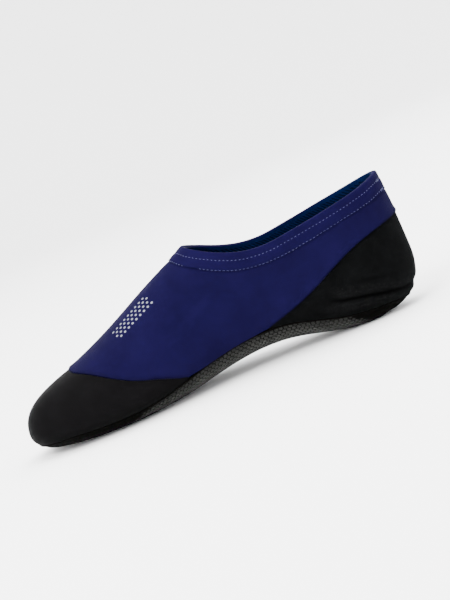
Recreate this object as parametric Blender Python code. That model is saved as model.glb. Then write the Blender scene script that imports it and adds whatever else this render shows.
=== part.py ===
"""Low-cut neoprene water shoe for the right foot, standing empty on its sole.

Metres, +Z up. The toe points to -X and the inner side, with the big toe and the arch, faces -Y.
The origin is on the floor, under the middle of the shoe's outline box.

Every panel is a piece of one foot form, the last. A place on it has two numbers: `loop`, which runs
round the foot's widest line (0 toe tip, 0 to 1 inner side, 1 back of the heel, 1 to 2 outer side), and
`rise`, which runs up a rib there (-1 middle of the sole, 0 widest line, 1 ridge of the instep or, behind
it, of the ankle). A depth is measured outwards from the last, square to it.
"""

import bpy
import numpy as np

MM = 0.001

# Sizes of the last
FOOT_LENGTH = 260 * MM
BALL_WIDTH = 92 * MM
HEEL_WIDTH = 60 * MM
TOE_HEIGHT = 42 * MM
INSTEP_HEIGHT = 85 * MM
ARCH_RISE = 9 * MM

# Collar line, above the floor
COLLAR_BACK_HEIGHT = 85 * MM
COLLAR_DIP_HEIGHT = 70.5 * MM

# Walls, and the sole's turned-up edge
UPPER_WALL = 2.6 * MM
HEM_WALL = 2.0 * MM
CAP_WALL = 2.1 * MM
SOLE_THICKNESS = 3.5 * MM
SOLE_EDGE_WALL = 2.2 * MM
SOLE_EDGE_HEIGHT = 10.5 * MM
INSOLE_THICKNESS = 2.0 * MM
INSOLE_EDGE_HEIGHT = 4.5 * MM

# Collar band: a strip folded over the top edge of the upper
BAND_THICKNESS = 0.8 * MM
BAND_OUTSIDE = 11.5 * MM
BAND_INSIDE = 8.0 * MM

# Clearance between pieces, and the mesh's fineness
GAP = 0.3 * MM
TIP_HEIGHT = 0.9 * MM
RIB_SAMPLES = 161
SPOKE_SAMPLES = 81
SPOKE_LEAN = 0.06
NEARLY = 1e-9
SOLE_COLUMNS = 41
INSOLE_COLUMNS = 28
CAP_COLUMNS = 10
UPPER_COLUMNS = 34
BAND_COLUMNS = 27
SOLE_ROWS = 8
INSOLE_ROWS = 5
TOE_ROWS = 8
HEEL_ROWS = 7
UPPER_ROWS = 8

# Which named size the shares of a row follow
WIDTHS = {"ball": BALL_WIDTH, "heel": HEEL_WIDTH}
HEIGHTS = {"toe": TOE_HEIGHT, "instep": INSTEP_HEIGHT, "heel": COLLAR_BACK_HEIGHT}

# Sections of the last, toe to heel. Places `at` are shares of FOOT_LENGTH from the heel, widths are
# shares of the row's width from the middle line, and heights are shares of the row's height. The top
# points behind the instep lie on the ankle above the collar, where the ribs would meet.
SECTION_COLUMNS = (
    "width_of", "height_of", "at", "inner", "outer", "inner_up", "outer_up",
    "top_at", "top_in", "top_up", "under_at", "under_in",
)
SECTIONS = (
    ("ball", "toe", 1.000, 0.090, -0.090, 0.36, 0.36, 0.880, 0.080, 0.96, 0.890, 0.060),
    ("ball", "toe", 0.982, 0.275, 0.115, 0.36, 0.35, 0.875, 0.080, 0.97, 0.885, 0.058),
    ("ball", "toe", 0.930, 0.392, 0.292, 0.37, 0.34, 0.855, 0.078, 1.01, 0.868, 0.050),
    ("ball", "toe", 0.850, 0.455, 0.402, 0.40, 0.35, 0.808, 0.074, 1.12, 0.815, 0.038),
    ("ball", "instep", 0.745, 0.480, 0.470, 0.24, 0.19, 0.725, 0.068, 0.665, 0.735, 0.020),
    ("ball", "instep", 0.625, 0.410, 0.478, 0.32, 0.21, 0.615, 0.062, 0.835, 0.622, 0.000),
    ("ball", "instep", 0.500, 0.330, 0.420, 0.42, 0.26, 0.495, 0.056, 1.010, 0.500, -0.010),
    ("heel", "instep", 0.375, 0.478, 0.565, 0.46, 0.32, 0.405, 0.060, 1.230, 0.380, -0.010),
    ("heel", "heel", 0.255, 0.495, 0.525, 0.40, 0.34, 0.350, 0.040, 1.480, 0.265, 0.000),
    ("heel", "heel", 0.140, 0.485, 0.495, 0.36, 0.35, 0.310, 0.020, 1.740, 0.170, 0.000),
    ("heel", "heel", 0.050, 0.350, 0.355, 0.37, 0.37, 0.285, 0.005, 1.920, 0.130, 0.000),
    ("heel", "heel", 0.000, 0.000, 0.000, 0.38, 0.38, 0.278, 0.000, 1.960, 0.122, 0.000),
)

# Height of the last's underside over its flat, as shares of ARCH_RISE. A little under zero is the
# part that the floor presses flat, at the heel and at the ball.
UNDERSIDE_COLUMNS = ("at", "up")
UNDERSIDE = (
    (0.045, -0.08), (0.13, -0.17), (0.23, 0.18), (0.33, 0.86), (0.42, 1.00),
    (0.52, 0.64), (0.62, 0.12), (0.70, -0.08), (0.82, -0.08), (0.90, 0.10),
)

# How full the ribs are: how far each end of a rib keeps its own direction
SIDE_FULLNESS = 0.56
ROOF_FULLNESS = 0.58
EDGE_FULLNESS = 0.58
TREAD_FULLNESS = 0.72

# Where the sole begins to thin towards its turned-up edge, as a rise below the widest line
SOLE_THINS_FROM = -0.55

# Collar line in side view: places as shares of FOOT_LENGTH, heights as shares of the way from the dip
# to the back of the collar, or to the instep's ridge at COLLAR_FRONT_AT
COLLAR_FRONT_AT = 0.500
COLLAR_TO_BACK = ((0.00, 1.00), (0.04, 0.80), (0.09, 0.60), (0.15, 0.42), (0.245, 0.16), (0.325, 0.00))
COLLAR_TO_FRONT = ((0.36, 0.04), (0.41, 0.26), (0.455, 0.60), (0.50, 1.00), (0.56, 1.65), (0.65, 2.80))

# Seam between the blue upper and the black caps in side view, as shares of the way from the sole's
# edge to the top of the shoe there. At 1 it crosses the ridge of the toes; at 0 it meets the sole.
SEAM_COLUMNS = ("at", "share")
SEAM = (
    (0.00, 0.650), (0.06, 0.640), (0.125, 0.600), (0.20, 0.480), (0.25, 0.350), (0.30, 0.215),
    (0.35, 0.095), (0.39, 0.020), (0.405, 0.000), (0.59, 0.000), (0.605, 0.025), (0.65, 0.165),
    (0.72, 0.370), (0.767, 0.570), (0.81, 0.785), (0.858, 1.000), (0.90, 1.300),
)

# Upper edge of the sole panel in side view, as shares of SOLE_EDGE_HEIGHT above the last's underside
SOLE_EDGE_COLUMNS = ("at", "share")
SOLE_EDGE = (
    (0.00, 0.32), (0.05, 0.50), (0.12, 0.74), (0.20, 0.82), (0.30, 0.95), (0.40, 1.00),
    (0.58, 1.00), (0.66, 0.80), (0.73, 0.68), (0.82, 0.64), (0.93, 0.56), (1.00, 0.52),
)

BLUE = (0.012, 0.016, 0.085, 1)
BAND_BLUE = (0.014, 0.018, 0.092, 1)
CAP_BLACK = (0.010, 0.010, 0.011, 1)
HEEL_BLACK = (0.009, 0.010, 0.011, 1)
SOLE_GREY = (0.045, 0.045, 0.046, 1)
INSOLE_BLUE = (0.010, 0.030, 0.090, 1)


def smooth_line(rows):
    """A curve through (place, height) rows that never swings past them. Returns heights for places."""
    x, y = np.array(sorted(rows)).T
    steps = np.diff(x)
    slopes = np.diff(y) / steps
    tangents = np.zeros_like(y)
    same_way = slopes[:-1] * slopes[1:] > 0
    weights = (2 * steps[1:] + steps[:-1], steps[1:] + 2 * steps[:-1])
    with np.errstate(divide="ignore", invalid="ignore"):
        mean = (weights[0] + weights[1]) / (weights[0] / slopes[:-1] + weights[1] / slopes[1:])
    tangents[1:-1] = np.where(same_way, mean, 0)
    tangents[0], tangents[-1] = slopes[0], slopes[-1]

    def height(at):
        at = np.asarray(at, float)
        i = np.clip(np.searchsorted(x, at, side="right") - 1, 0, len(steps) - 1)
        s = np.clip((at - x[i]) / steps[i], 0, 1)
        curve = (
            y[i] * (1 + 2 * s) * (1 - s) ** 2
            + tangents[i] * steps[i] * s * (1 - s) ** 2
            + y[i + 1] * s**2 * (3 - 2 * s)
            + tangents[i + 1] * steps[i] * s**2 * (s - 1)
        )
        before = np.minimum(at - x[0], 0) * tangents[0]
        after = np.maximum(at - x[-1], 0) * tangents[-1]
        return curve + before + after

    return height


def spline(knots, values, closed=False):
    """A cubic spline through rows of values, which are numbers or lists of columns. It has no kinks."""
    knots, values = np.asarray(knots, float), np.asarray(values, float)
    n, steps = len(knots), np.diff(knots)
    matrix, right = np.zeros((n, n)), np.zeros_like(values)
    slopes = (np.diff(values, axis=0).T / steps).T
    for i in range(1, n - 1):
        matrix[i, i - 1 : i + 2] = steps[i - 1], 2 * (steps[i - 1] + steps[i]), steps[i]
        right[i] = 6 * (slopes[i] - slopes[i - 1])
    if closed:
        matrix[0, [0, 1, -2]] = 2 * (steps[0] + steps[-1]), steps[0], steps[-1]
        right[0] = 6 * (slopes[0] - slopes[-1])
        matrix[-1, [0, -1]] = 1, -1
    else:
        matrix[0, 0] = matrix[-1, -1] = 1
    bends = np.linalg.solve(matrix, right)

    def value(at):
        at = np.asarray(at, float)
        i = np.clip(np.searchsorted(knots, at, side="right") - 1, 0, n - 2)
        h = steps[i]
        shape = (...,) + (None,) * (values.ndim - 1)
        left, after = (knots[i + 1] - at)[shape], (at - knots[i])[shape]
        h = h[shape]
        return (
            (bends[i] * left**3 + bends[i + 1] * after**3) / (6 * h)
            + (values[i] / h - bends[i] * h / 6) * left
            + (values[i + 1] / h - bends[i + 1] * h / 6) * after
        )

    return value


def slope_of(line, at):
    step = 0.1 * MM
    return (line(at + step) - line(at - step)) / (2 * step)


class Last:
    """The foot form. Its own points are (along, inward, up): from the heel towards the toe, from the
    middle line towards the inner side, and above the floor."""

    def __init__(self):
        rows = [dict(zip(SECTION_COLUMNS, row)) for row in SECTIONS]
        inner = np.array([self.rib_ends(row, "inner") for row in rows])
        outer = np.array([self.rib_ends(row, "outer") for row in rows])
        chords = [np.linalg.norm(np.diff(side[:, :2], axis=0), axis=1) for side in (inner, outer)]
        half = np.concatenate([[0], np.cumsum(chords[0] + chords[1])])
        half /= half[-1]
        loop = np.concatenate([half, 2 - half[-2::-1]])
        self.ends = spline(loop, np.concatenate([inner, outer[-2::-1]]), closed=True)
        ridge = [(row["top_at"] * FOOT_LENGTH, row["top_up"] * HEIGHTS[row["height_of"]]) for row in rows]
        self.ridge = spline(*zip(*sorted(ridge)))
        under = [dict(zip(UNDERSIDE_COLUMNS, row)) for row in UNDERSIDE]
        self.under = spline(
            [row["at"] * FOOT_LENGTH for row in under],
            [SOLE_THICKNESS + row["up"] * ARCH_RISE for row in under],
        )

    @staticmethod
    def rib_ends(row, side):
        """The columns that the spline runs through, for one side of a section."""
        width, height = WIDTHS[row["width_of"]], HEIGHTS[row["height_of"]]
        sign = 1 if side == "inner" else -1
        return (
            row["at"] * FOOT_LENGTH,
            sign * row[side] * width,
            row[side + "_up"] * height,
            row["top_at"] * FOOT_LENGTH,
            row["top_in"] * width,
            row["under_at"] * FOOT_LENGTH,
            row["under_in"] * width,
        )

    def rib(self, loop, rise):
        """Points on the last, by its two numbers, as arrays of one shape."""
        loop, rise = np.broadcast_arrays(np.asarray(loop, float) % 2, np.asarray(rise, float))
        # The ribs of the two sides share their ends on the ridge and under the sole.
        folded = np.where(np.abs(rise) >= 1, np.minimum(loop, 2 - loop), loop)
        widest, top, under = np.split(self.ends(folded), [3, 5], axis=-1)
        upper = rise >= 0
        end = np.where(upper[..., None], top, under)
        end_line = np.where(upper, self.ridge(end[..., 0]), self.under(end[..., 0]))
        tilt = np.where(upper, slope_of(self.ridge, end[..., 0]), slope_of(self.under, end[..., 0]))
        end = np.concatenate([end, end_line[..., None]], axis=-1)
        reach = widest - end
        along_end = np.stack([reach[..., 0], reach[..., 1], reach[..., 0] * tilt], axis=-1)
        keep = np.where(upper, SIDE_FULLNESS, EDGE_FULLNESS)[..., None]
        lie = np.where(upper, ROOF_FULLNESS, TREAD_FULLNESS)[..., None]
        first = widest + keep * reach * np.array([0, 0, -1])
        second = end + lie * along_end
        s = np.abs(rise)[..., None]
        return widest * (1 - s) ** 3 + 3 * first * s * (1 - s) ** 2 + 3 * second * s**2 * (1 - s) + end * s**3

    def outward(self, loop, rise):
        """Unit directions square to the last, pointing out of the foot."""
        loop, rise = np.broadcast_arrays(np.asarray(loop, float) % 2, np.asarray(rise, float))
        step = 0.002
        inside = np.clip(rise, -1 + step, 1 - step)
        round_foot = self.rib(loop + step, inside) - self.rib(loop - step, inside)
        up_rib = self.rib(loop, inside + step) - self.rib(loop, inside - step)
        normal = np.cross(round_foot, up_rib)
        folded = np.minimum(loop, 2 - loop)
        ends = self.ends(folded)
        for limit, column, line in ((1, 3, self.ridge), (-1, 5, self.under)):
            at_end = rise * limit >= 1
            tilt = slope_of(line, ends[..., column])
            square = np.stack([-tilt, np.zeros_like(tilt), np.ones_like(tilt)], axis=-1) * limit
            normal = np.where(at_end[..., None], square, normal)
        return normal / np.linalg.norm(normal, axis=-1, keepdims=True)

    def place(self, loop, rise, depth):
        """Points at a depth outside the last. The underside stays flat where the floor carries it."""
        depth = np.asarray(depth, float)
        point = self.rib(loop, rise) + self.outward(loop, rise) * depth[..., None]
        point[..., 2] = np.maximum(point[..., 2], SOLE_THICKNESS - depth)
        return point

    def climbs(self, loops):
        """Rises up each rib, and how far each lies from the widest line by length, as a share of
        that half of the rib: -1 under the sole and 1 on the ridge."""
        rises = np.linspace(-1, 1, RIB_SAMPLES)
        points = self.rib(loops[:, None], rises[None, :])
        run = np.cumsum(np.linalg.norm(np.diff(points, axis=1), axis=-1), axis=1)
        run = np.concatenate([np.zeros((len(loops), 1)), run], axis=1)
        widest, ridge = run[:, [RIB_SAMPLES // 2]], run[:, [-1]]
        return rises, np.where(rises < 0, run / widest - 1, (run - widest) / (ridge - widest))

    def crossing(self, loop, line):
        """How far up each rib a side-view line is met, or 1 where the rib stays under it."""
        loop = np.asarray(loop, float)
        rises = np.linspace(-1, 1, RIB_SAMPLES)[:, None]
        points = self.rib(loop[None, :], rises)
        over = points[..., 2] - line(points[..., 0]) >= 0
        first = np.argmax(over, axis=0)
        met = over.any(axis=0)
        high = rises[first, 0]
        low = rises[np.maximum(first - 1, 0), 0]
        for _ in range(30):
            middle = (low + high) / 2
            point = self.rib(loop, middle)
            above = point[..., 2] >= line(point[..., 0])
            high, low = np.where(above, middle, high), np.where(above, low, middle)
        return np.where(met, high, 1.0)

    def ridge_meets(self, line):
        """The loop place where the ridge rises through a side-view line."""
        loops = np.linspace(0, 1, 401)
        points = self.rib(loops, np.ones_like(loops))
        first = int(np.argmax(points[:, 2] >= line(points[:, 0])))
        low, high = loops[first - 1], loops[first]
        for _ in range(40):
            middle = (low + high) / 2
            point = self.rib(middle, 1.0)
            if point[2] >= line(point[0]):
                high = middle
            else:
                low = middle
        return high


LAST = Last()


def collar_rows():
    front = float(LAST.ridge(COLLAR_FRONT_AT * FOOT_LENGTH))
    for ends_at, rows in ((COLLAR_BACK_HEIGHT, COLLAR_TO_BACK), (front, COLLAR_TO_FRONT)):
        for at, share in rows:
            yield at * FOOT_LENGTH, COLLAR_DIP_HEIGHT + share * (ends_at - COLLAR_DIP_HEIGHT)


collar_line = smooth_line(collar_rows())
sole_edge_rise = smooth_line((at * FOOT_LENGTH, share * SOLE_EDGE_HEIGHT) for at, share in SOLE_EDGE)
seam_shares = smooth_line((at * FOOT_LENGTH, share) for at, share in SEAM)


def under_line(at):
    """The last's underside in side view, level beyond the ends of its table."""
    return LAST.under(np.clip(at, UNDERSIDE[0][0] * FOOT_LENGTH, UNDERSIDE[-1][0] * FOOT_LENGTH))


def sole_edge_line(at):
    return under_line(at) + sole_edge_rise(at)


def insole_edge_line(at):
    return under_line(at) + INSOLE_EDGE_HEIGHT


def seam_line(at):
    ridge_ends = [row[SECTION_COLUMNS.index("top_at")] * FOOT_LENGTH for row in (SECTIONS[-1], SECTIONS[0])]
    top = np.minimum(LAST.ridge(np.clip(at, *ridge_ends)), collar_line(at))
    low = sole_edge_line(at)
    return low + seam_shares(at) * (top - low)


def beside(line, offset):
    """The line moved by an offset square to itself, in side view."""
    return lambda at: line(at) + offset * np.sqrt(1 + slope_of(line, at) ** 2)


def material(name, color, roughness):
    made = bpy.data.materials.new(name)
    made.use_nodes = True
    shader = made.node_tree.nodes["Principled BSDF"]
    shader.inputs["Base Color"].default_value = color
    shader.inputs["Roughness"].default_value = roughness
    shader.inputs["Metallic"].default_value = 0
    made.diffuse_color = color
    return made


def add_object(name, points, faces, finish, centre):
    """Makes one piece, with the toe at -X and the inner side at -Y of the centre."""
    mesh = bpy.data.meshes.new(name)
    mesh.from_pydata(((points - centre) * np.array([-1, -1, 1])).tolist(), [], faces)
    mesh.validate()
    made = bpy.data.objects.new(name, mesh)
    made.data.materials.append(finish)
    COLLECTION.objects.link(made)
    mesh.shade_smooth()
    return made


def wall(sheets, outer, inner):
    """Points and faces of a closed wall over sheets of the last. A sheet is a grid of (loop, rise)
    places, and grids that share places join there. Outer and inner give each place's two depths."""
    index, places, faces = {}, [], []

    def vertex(loop, rise):
        loop = loop % 2
        # On the ridge and under the sole the two sides share their places.
        folded = min(loop, 2 - loop) if abs(rise) >= 1 else loop
        key = (round(folded, 9), round(rise, 9))
        if key not in index:
            index[key] = len(places)
            places.append((folded, rise))
        return index[key]

    for loops, rises in sheets:
        grid = [[vertex(a, b) for a, b in zip(*line)] for line in zip(loops.tolist(), rises.tolist())]
        for near, far in zip(grid, grid[1:]):
            for corners in zip(near, near[1:], far[1:], far):
                kept = [c for i, c in enumerate(corners) if c != corners[i - 1]]
                if len(set(kept)) >= 3:
                    faces.append(kept)
    loop, rise = np.array(places).T
    points = np.concatenate([
        LAST.place(loop, rise, outer(loop, rise)),
        LAST.place(loop, rise, inner(loop, rise)),
    ])
    count = len(places)
    edges = {}
    for face in faces:
        for a, b in zip(face, face[1:] + face[:1]):
            edges[(a, b)] = edges.get((a, b), 0) + 1
    rim = [(a, b) for a, b in edges if (b, a) not in edges]
    walls = [[b, a, a + count, b + count] for a, b in rim]
    backs = [[corner + count for corner in reversed(face)] for face in faces]
    return points, faces + backs + walls


def columns_of(loops, low, high, rows):
    """Grid places between two heights on each rib."""
    share = np.linspace(0, 1, rows + 1)[:, None]
    return np.broadcast_to(loops, (rows + 1, len(loops))), (1 - share) * low + share * high


def run_of(points):
    """Length along a line of points, from its start to each point."""
    return np.concatenate([[0], np.cumsum(np.linalg.norm(np.diff(points, axis=0), axis=1))])


def even_loops(count, start=0.0, end=1.0):
    """Places between two ribs of the inner side, evenly spaced along the widest line."""
    fine = np.linspace(start, end, 400)
    run = run_of(LAST.rib(fine, np.zeros_like(fine)))
    return np.interp(np.linspace(0, run[-1], count + 1), run, fine)


def side_sheets(inner_loops, outer_loops, low_of, high_of, rows):
    """Both sides of a panel whose edges are functions of the loop place. Each faces out of the foot."""
    outer_loops = 2 - outer_loops[::-1]
    return [columns_of(loops, low_of(loops), high_of(loops), rows) for loops in (inner_loops, outer_loops)]


def middle_of_sole(loops):
    return np.full(len(loops), -1.0)


def depth_of(value):
    return lambda loop, rise: np.full(np.shape(loop), value)


sole_top = beside(sole_edge_line, -GAP / 2)
panel_foot = beside(sole_edge_line, GAP / 2)
seam_above = beside(seam_line, GAP / 2)
seam_below = beside(seam_line, -GAP / 2)


def sole_wall():
    loops = even_loops(SOLE_COLUMNS)

    def outer(loop, rise):
        """Full under the foot, thinner where the edge turns up the side."""
        edge = LAST.crossing(loop, sole_top)
        up = np.clip((rise - SOLE_THINS_FROM) / (edge - SOLE_THINS_FROM), 0, 1)
        return SOLE_THICKNESS + (SOLE_EDGE_WALL - SOLE_THICKNESS) * up**2 * (3 - 2 * up)

    sheets = side_sheets(
        loops, loops, middle_of_sole, lambda loops: LAST.crossing(loops, sole_top), SOLE_ROWS
    )
    return wall(sheets, outer, depth_of(0))


def insole_wall():
    loops = even_loops(INSOLE_COLUMNS)
    sheets = side_sheets(
        loops, loops, middle_of_sole, lambda loops: LAST.crossing(loops, insole_edge_line), INSOLE_ROWS
    )
    return wall(sheets, depth_of(-GAP), depth_of(-GAP - INSOLE_THICKNESS))


def cap_tips(side):
    """Loop places where the toe cap and the heel cup run out, between the seam and the sole."""
    loops = np.linspace(0, 1, 401)
    around = loops if side == "inner" else 2 - loops
    low, high = LAST.crossing(around, panel_foot), LAST.crossing(around, seam_below)
    height = np.linalg.norm(LAST.rib(around, high) - LAST.rib(around, low), axis=-1)
    thin = np.flatnonzero((height < TIP_HEIGHT) | (high <= low))
    return loops[thin[0] - 1], loops[thin[-1] + 1]


def toe_cap_wall():
    crest = LAST.ridge_meets(seam_below)
    front = even_loops(CAP_COLUMNS, 0, crest)
    inner, outer = (
        np.concatenate([front, even_loops(CAP_COLUMNS + 4, crest, cap_tips(side)[0])[1:]])
        for side in ("inner", "outer")
    )

    def top(loops):
        met = LAST.crossing(loops, seam_below)
        return np.where(np.minimum(loops, 2 - loops) <= crest + NEARLY, 1.0, met)

    sheets = side_sheets(inner, outer, lambda loops: LAST.crossing(loops, panel_foot), top, TOE_ROWS)
    return wall(sheets, depth_of(CAP_WALL), depth_of(0))


def heel_cup_wall():
    inner, outer = (even_loops(2 * CAP_COLUMNS, cap_tips(side)[1], 1.0) for side in ("inner", "outer"))
    sheets = side_sheets(
        inner,
        outer,
        lambda loops: LAST.crossing(loops, panel_foot),
        lambda loops: LAST.crossing(loops, seam_below),
        HEEL_ROWS,
    )
    return wall(sheets, depth_of(CAP_WALL), depth_of(0))


def edge_places(line, start, side, count):
    """Places along a side-view line on one side, from the ridge to the heel, evenly spaced."""
    loops = start + (1 - start) * np.linspace(0, 1, 500) ** 2
    around = loops if side == "inner" else 2 - loops
    rises = LAST.crossing(around, line)
    rises[0] = 1.0
    run = run_of(LAST.rib(around, rises))
    even = np.linspace(0, run[-1], count + 1)
    return np.interp(even, run, loops), np.interp(even, run, rises)


# Distances below the collar's edge where the upper has a row: its edge, the middle of the band, and
# the step where its wall grows to full thickness under the band's lower edge
HEM_STEP = 1.0 * MM
HEM_LEVELS = np.array([0.0, BAND_OUTSIDE / 2, BAND_OUTSIDE + GAP, BAND_OUTSIDE + GAP + HEM_STEP])


class UpperSide:
    """One side of the blue upper, as spokes from the collar's edge down to the seam. Spoke 0 runs
    forward along the ridge and spoke 1 down the back of the heel."""

    SAMPLES = 120

    def __init__(self, side):
        self.side = side
        self.spokes = {}
        crest, front = LAST.ridge_meets(seam_above), LAST.ridge_meets(collar_line)
        lower = lambda at: np.maximum(seam_above(at), panel_foot(at))
        self.collar = edge_places(collar_line, front, side, self.SAMPLES)
        self.seam = edge_places(lower, crest, side, self.SAMPLES)

    def around(self, loop):
        return loop if self.side == "inner" else 2 - loop

    def spoke(self, share):
        """Fine places down one spoke, at a share of the way round the collar: their loops, their
        rises and their distances below the collar's edge. It runs straight by the ribs' length."""
        if share not in self.spokes:
            knots = np.linspace(0, 1, self.SAMPLES + 1)
            # The feet run a little ahead towards the heel, so that no spoke skims along the seam.
            foot_share = share + SPOKE_LEAN * np.sin(np.pi * share)
            ends = [
                [np.interp(at, knots, values) for values in edge]
                for at, edge in ((share, self.collar), (foot_share, self.seam))
            ]
            down = np.linspace(0, 1, SPOKE_SAMPLES)
            loops = (1 - down) * ends[0][0] + down * ends[1][0]
            rises, climbs = LAST.climbs(self.around(loops))
            top, foot = np.interp(ends[0][1], rises, climbs[0]), np.interp(ends[1][1], rises, climbs[-1])
            climb = (1 - down) * top + down * foot
            rise = np.array([np.interp(at, row, rises) for at, row in zip(climb, climbs)])
            rise[[0, -1]] = ends[0][1], ends[1][1]
            rise = np.where(rise > 1 - NEARLY, 1.0, rise)
            self.spokes[share] = loops, rise, run_of(LAST.rib(self.around(loops), rise))
        return self.spokes[share]

    def below(self, share, distance):
        """The places that lie at distances below the collar's edge, down one spoke."""
        loops, rises, run = self.spoke(share)
        return self.around(np.interp(distance, run, loops)), np.interp(distance, run, rises)

    def level(self, share, downs):
        """Places down one spoke: the hem's rows by distance, and the rest evenly to the seam."""
        run = self.spoke(share)[2]
        rest = HEM_LEVELS[-1] + (run[-1] - HEM_LEVELS[-1]) * downs
        return self.below(share, np.append(HEM_LEVELS, rest))

    def sheet(self, shares, downs):
        """Grid places, one row for each level between the hem and the seam."""
        loops, rises = zip(*(self.level(share, downs) for share in shares))
        return np.array(loops).T, np.array(rises).T


def upper_wall():
    shares = np.linspace(0, 1, UPPER_COLUMNS + 1)
    downs = np.linspace(0, 1, UPPER_ROWS + 1)[1:]
    sheets, thin = [], {}
    for side in (INNER_SIDE, OUTER_SIDE):
        loops, rises = side.sheet(shares, downs)
        for row in range(len(HEM_LEVELS) - 1):
            for loop, rise in zip(loops[row], rises[row]):
                loop = loop % 2
                folded = min(loop, 2 - loop) if abs(rise) >= 1 else loop
                thin[(round(folded, 9), round(rise, 9))] = HEM_WALL
        # Rows run down, so a sheet of the inner side is turned to face out of the foot.
        sheets.append((loops[::-1], rises[::-1]) if side is INNER_SIDE else (loops, rises))

    def outer(loop, rise):
        keys = zip(np.round(loop, 9).tolist(), np.round(rise, 9).tolist())
        return np.array([thin.get(key, UPPER_WALL) for key in keys])

    return wall(sheets, outer, depth_of(0))


def band_profile():
    """The folded band's section: (distance below the upper's edge, depth), outside leg first."""
    face, back = HEM_WALL + GAP, -GAP
    outer, inner = face + BAND_THICKNESS, back - BAND_THICKNESS
    middle, half = (outer + inner) / 2, (outer - inner) / 2
    fold = GAP + BAND_THICKNESS
    turns = np.radians(np.linspace(0, 180, 7))
    roll = [(-fold * np.sin(a), middle + half * np.cos(a)) for a in turns]
    return (
        [(BAND_OUTSIDE, outer), (BAND_OUTSIDE / 2, outer)]
        + roll
        + [(BAND_INSIDE / 2, inner), (BAND_INSIDE, inner), (BAND_INSIDE, back), (BAND_INSIDE / 2, back)]
        + [(-GAP, back), (-GAP, face), (BAND_OUTSIDE / 2, face), (BAND_OUTSIDE, face)]
    )


def collar_band_strip():
    """The folded strip, swept round the collar's edge: inner side to the back, outer side forward."""
    profile = band_profile()
    shares = np.linspace(0, 1, BAND_COLUMNS + 1)
    stations = [(INNER_SIDE, s) for s in shares[:-1]] + [(OUTER_SIDE, s) for s in shares[:0:-1]]
    points = []
    for side, share in stations:
        edge, under = side.below(share, 0.0), side.below(share, 0.5 * MM)
        rim = LAST.rib(*edge)
        upward = rim - LAST.rib(*under)
        upward /= np.linalg.norm(upward)
        for distance, depth in profile:
            spot = side.below(share, max(distance, 0.0))
            points.append(LAST.place(*spot, depth) - min(distance, 0.0) * upward)
    count, turns = len(profile), len(stations)
    faces = []
    for i in range(turns):
        here, ahead = i * count, (i + 1) % turns * count
        for j in range(count):
            after = (j + 1) % count
            faces.append([here + j, ahead + j, ahead + after, here + after])
    return np.array(points), faces


for old in list(bpy.data.objects):
    bpy.data.objects.remove(old)

COLLECTION = bpy.data.collections.new("water_shoe")
bpy.context.scene.collection.children.link(COLLECTION)

INNER_SIDE, OUTER_SIDE = UpperSide("inner"), UpperSide("outer")

PIECES = {
    "sole": (sole_wall(), material("sole_rubber", SOLE_GREY, 0.62)),
    "insole": (insole_wall(), material("insole_foam", INSOLE_BLUE, 0.8)),
    "toe_cap": (toe_cap_wall(), material("toe_neoprene", CAP_BLACK, 0.5)),
    "heel_cup": (heel_cup_wall(), material("heel_jersey", HEEL_BLACK, 0.8)),
    "upper": (upper_wall(), material("upper_fabric", BLUE, 0.55)),
    "collar_band": (collar_band_strip(), material("band_fabric", BAND_BLUE, 0.5)),
}

every_point = np.concatenate([points for (points, _), _ in PIECES.values()])
CENTRE = (every_point.min(axis=0) + every_point.max(axis=0)) / 2 * np.array([1, 1, 0])

for piece, ((piece_points, piece_faces), piece_finish) in PIECES.items():
    add_object(piece, piece_points, piece_faces, piece_finish, CENTRE)
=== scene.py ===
"""A low water shoe for the right foot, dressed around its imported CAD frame.

The toe points to -X, the heel to +X and the foot's inner side to -Y. Sizes are in metres.
"""

import math

import bpy
import numpy as np
from mathutils import Matrix, Vector
from mathutils.bvhtree import BVHTree
from mathutils.kdtree import KDTree


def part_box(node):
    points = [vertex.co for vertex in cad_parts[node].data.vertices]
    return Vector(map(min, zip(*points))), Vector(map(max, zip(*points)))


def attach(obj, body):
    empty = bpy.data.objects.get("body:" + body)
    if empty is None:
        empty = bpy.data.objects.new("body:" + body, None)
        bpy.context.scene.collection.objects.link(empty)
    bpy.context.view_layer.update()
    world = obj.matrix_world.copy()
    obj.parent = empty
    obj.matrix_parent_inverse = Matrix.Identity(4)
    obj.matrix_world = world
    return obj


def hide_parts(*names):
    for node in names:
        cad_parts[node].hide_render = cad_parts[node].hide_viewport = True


bl_info = {
    "name": "Water shoe",
    "version": (1, 0, 0),
    "blender": (4, 5, 0),
    "location": "3D View > Sidebar > Water shoe",
    "description": "Dresses the water shoe's frame: fabrics, seams, stitches and tread",
    "category": "Object",
}

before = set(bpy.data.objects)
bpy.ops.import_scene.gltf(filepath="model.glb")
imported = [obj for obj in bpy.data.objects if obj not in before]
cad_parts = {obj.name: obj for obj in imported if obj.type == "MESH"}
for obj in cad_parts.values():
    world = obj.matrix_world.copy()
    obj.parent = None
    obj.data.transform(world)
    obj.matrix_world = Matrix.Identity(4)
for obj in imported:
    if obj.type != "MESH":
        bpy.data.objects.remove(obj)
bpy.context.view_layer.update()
MM = 0.001

# Sizes and colours


def length(name, description, default):
    """A size in metres that the sidebar shows as a distance."""
    return bpy.props.FloatProperty(
        name=name, description=description, default=default, min=0, unit="LENGTH", precision=5
    )


def colour(name, description, default):
    """A linear colour that the sidebar shows as a swatch."""
    return bpy.props.FloatVectorProperty(
        name=name, description=description, default=default, size=3, min=0, max=1, subtype="COLOR"
    )


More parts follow.
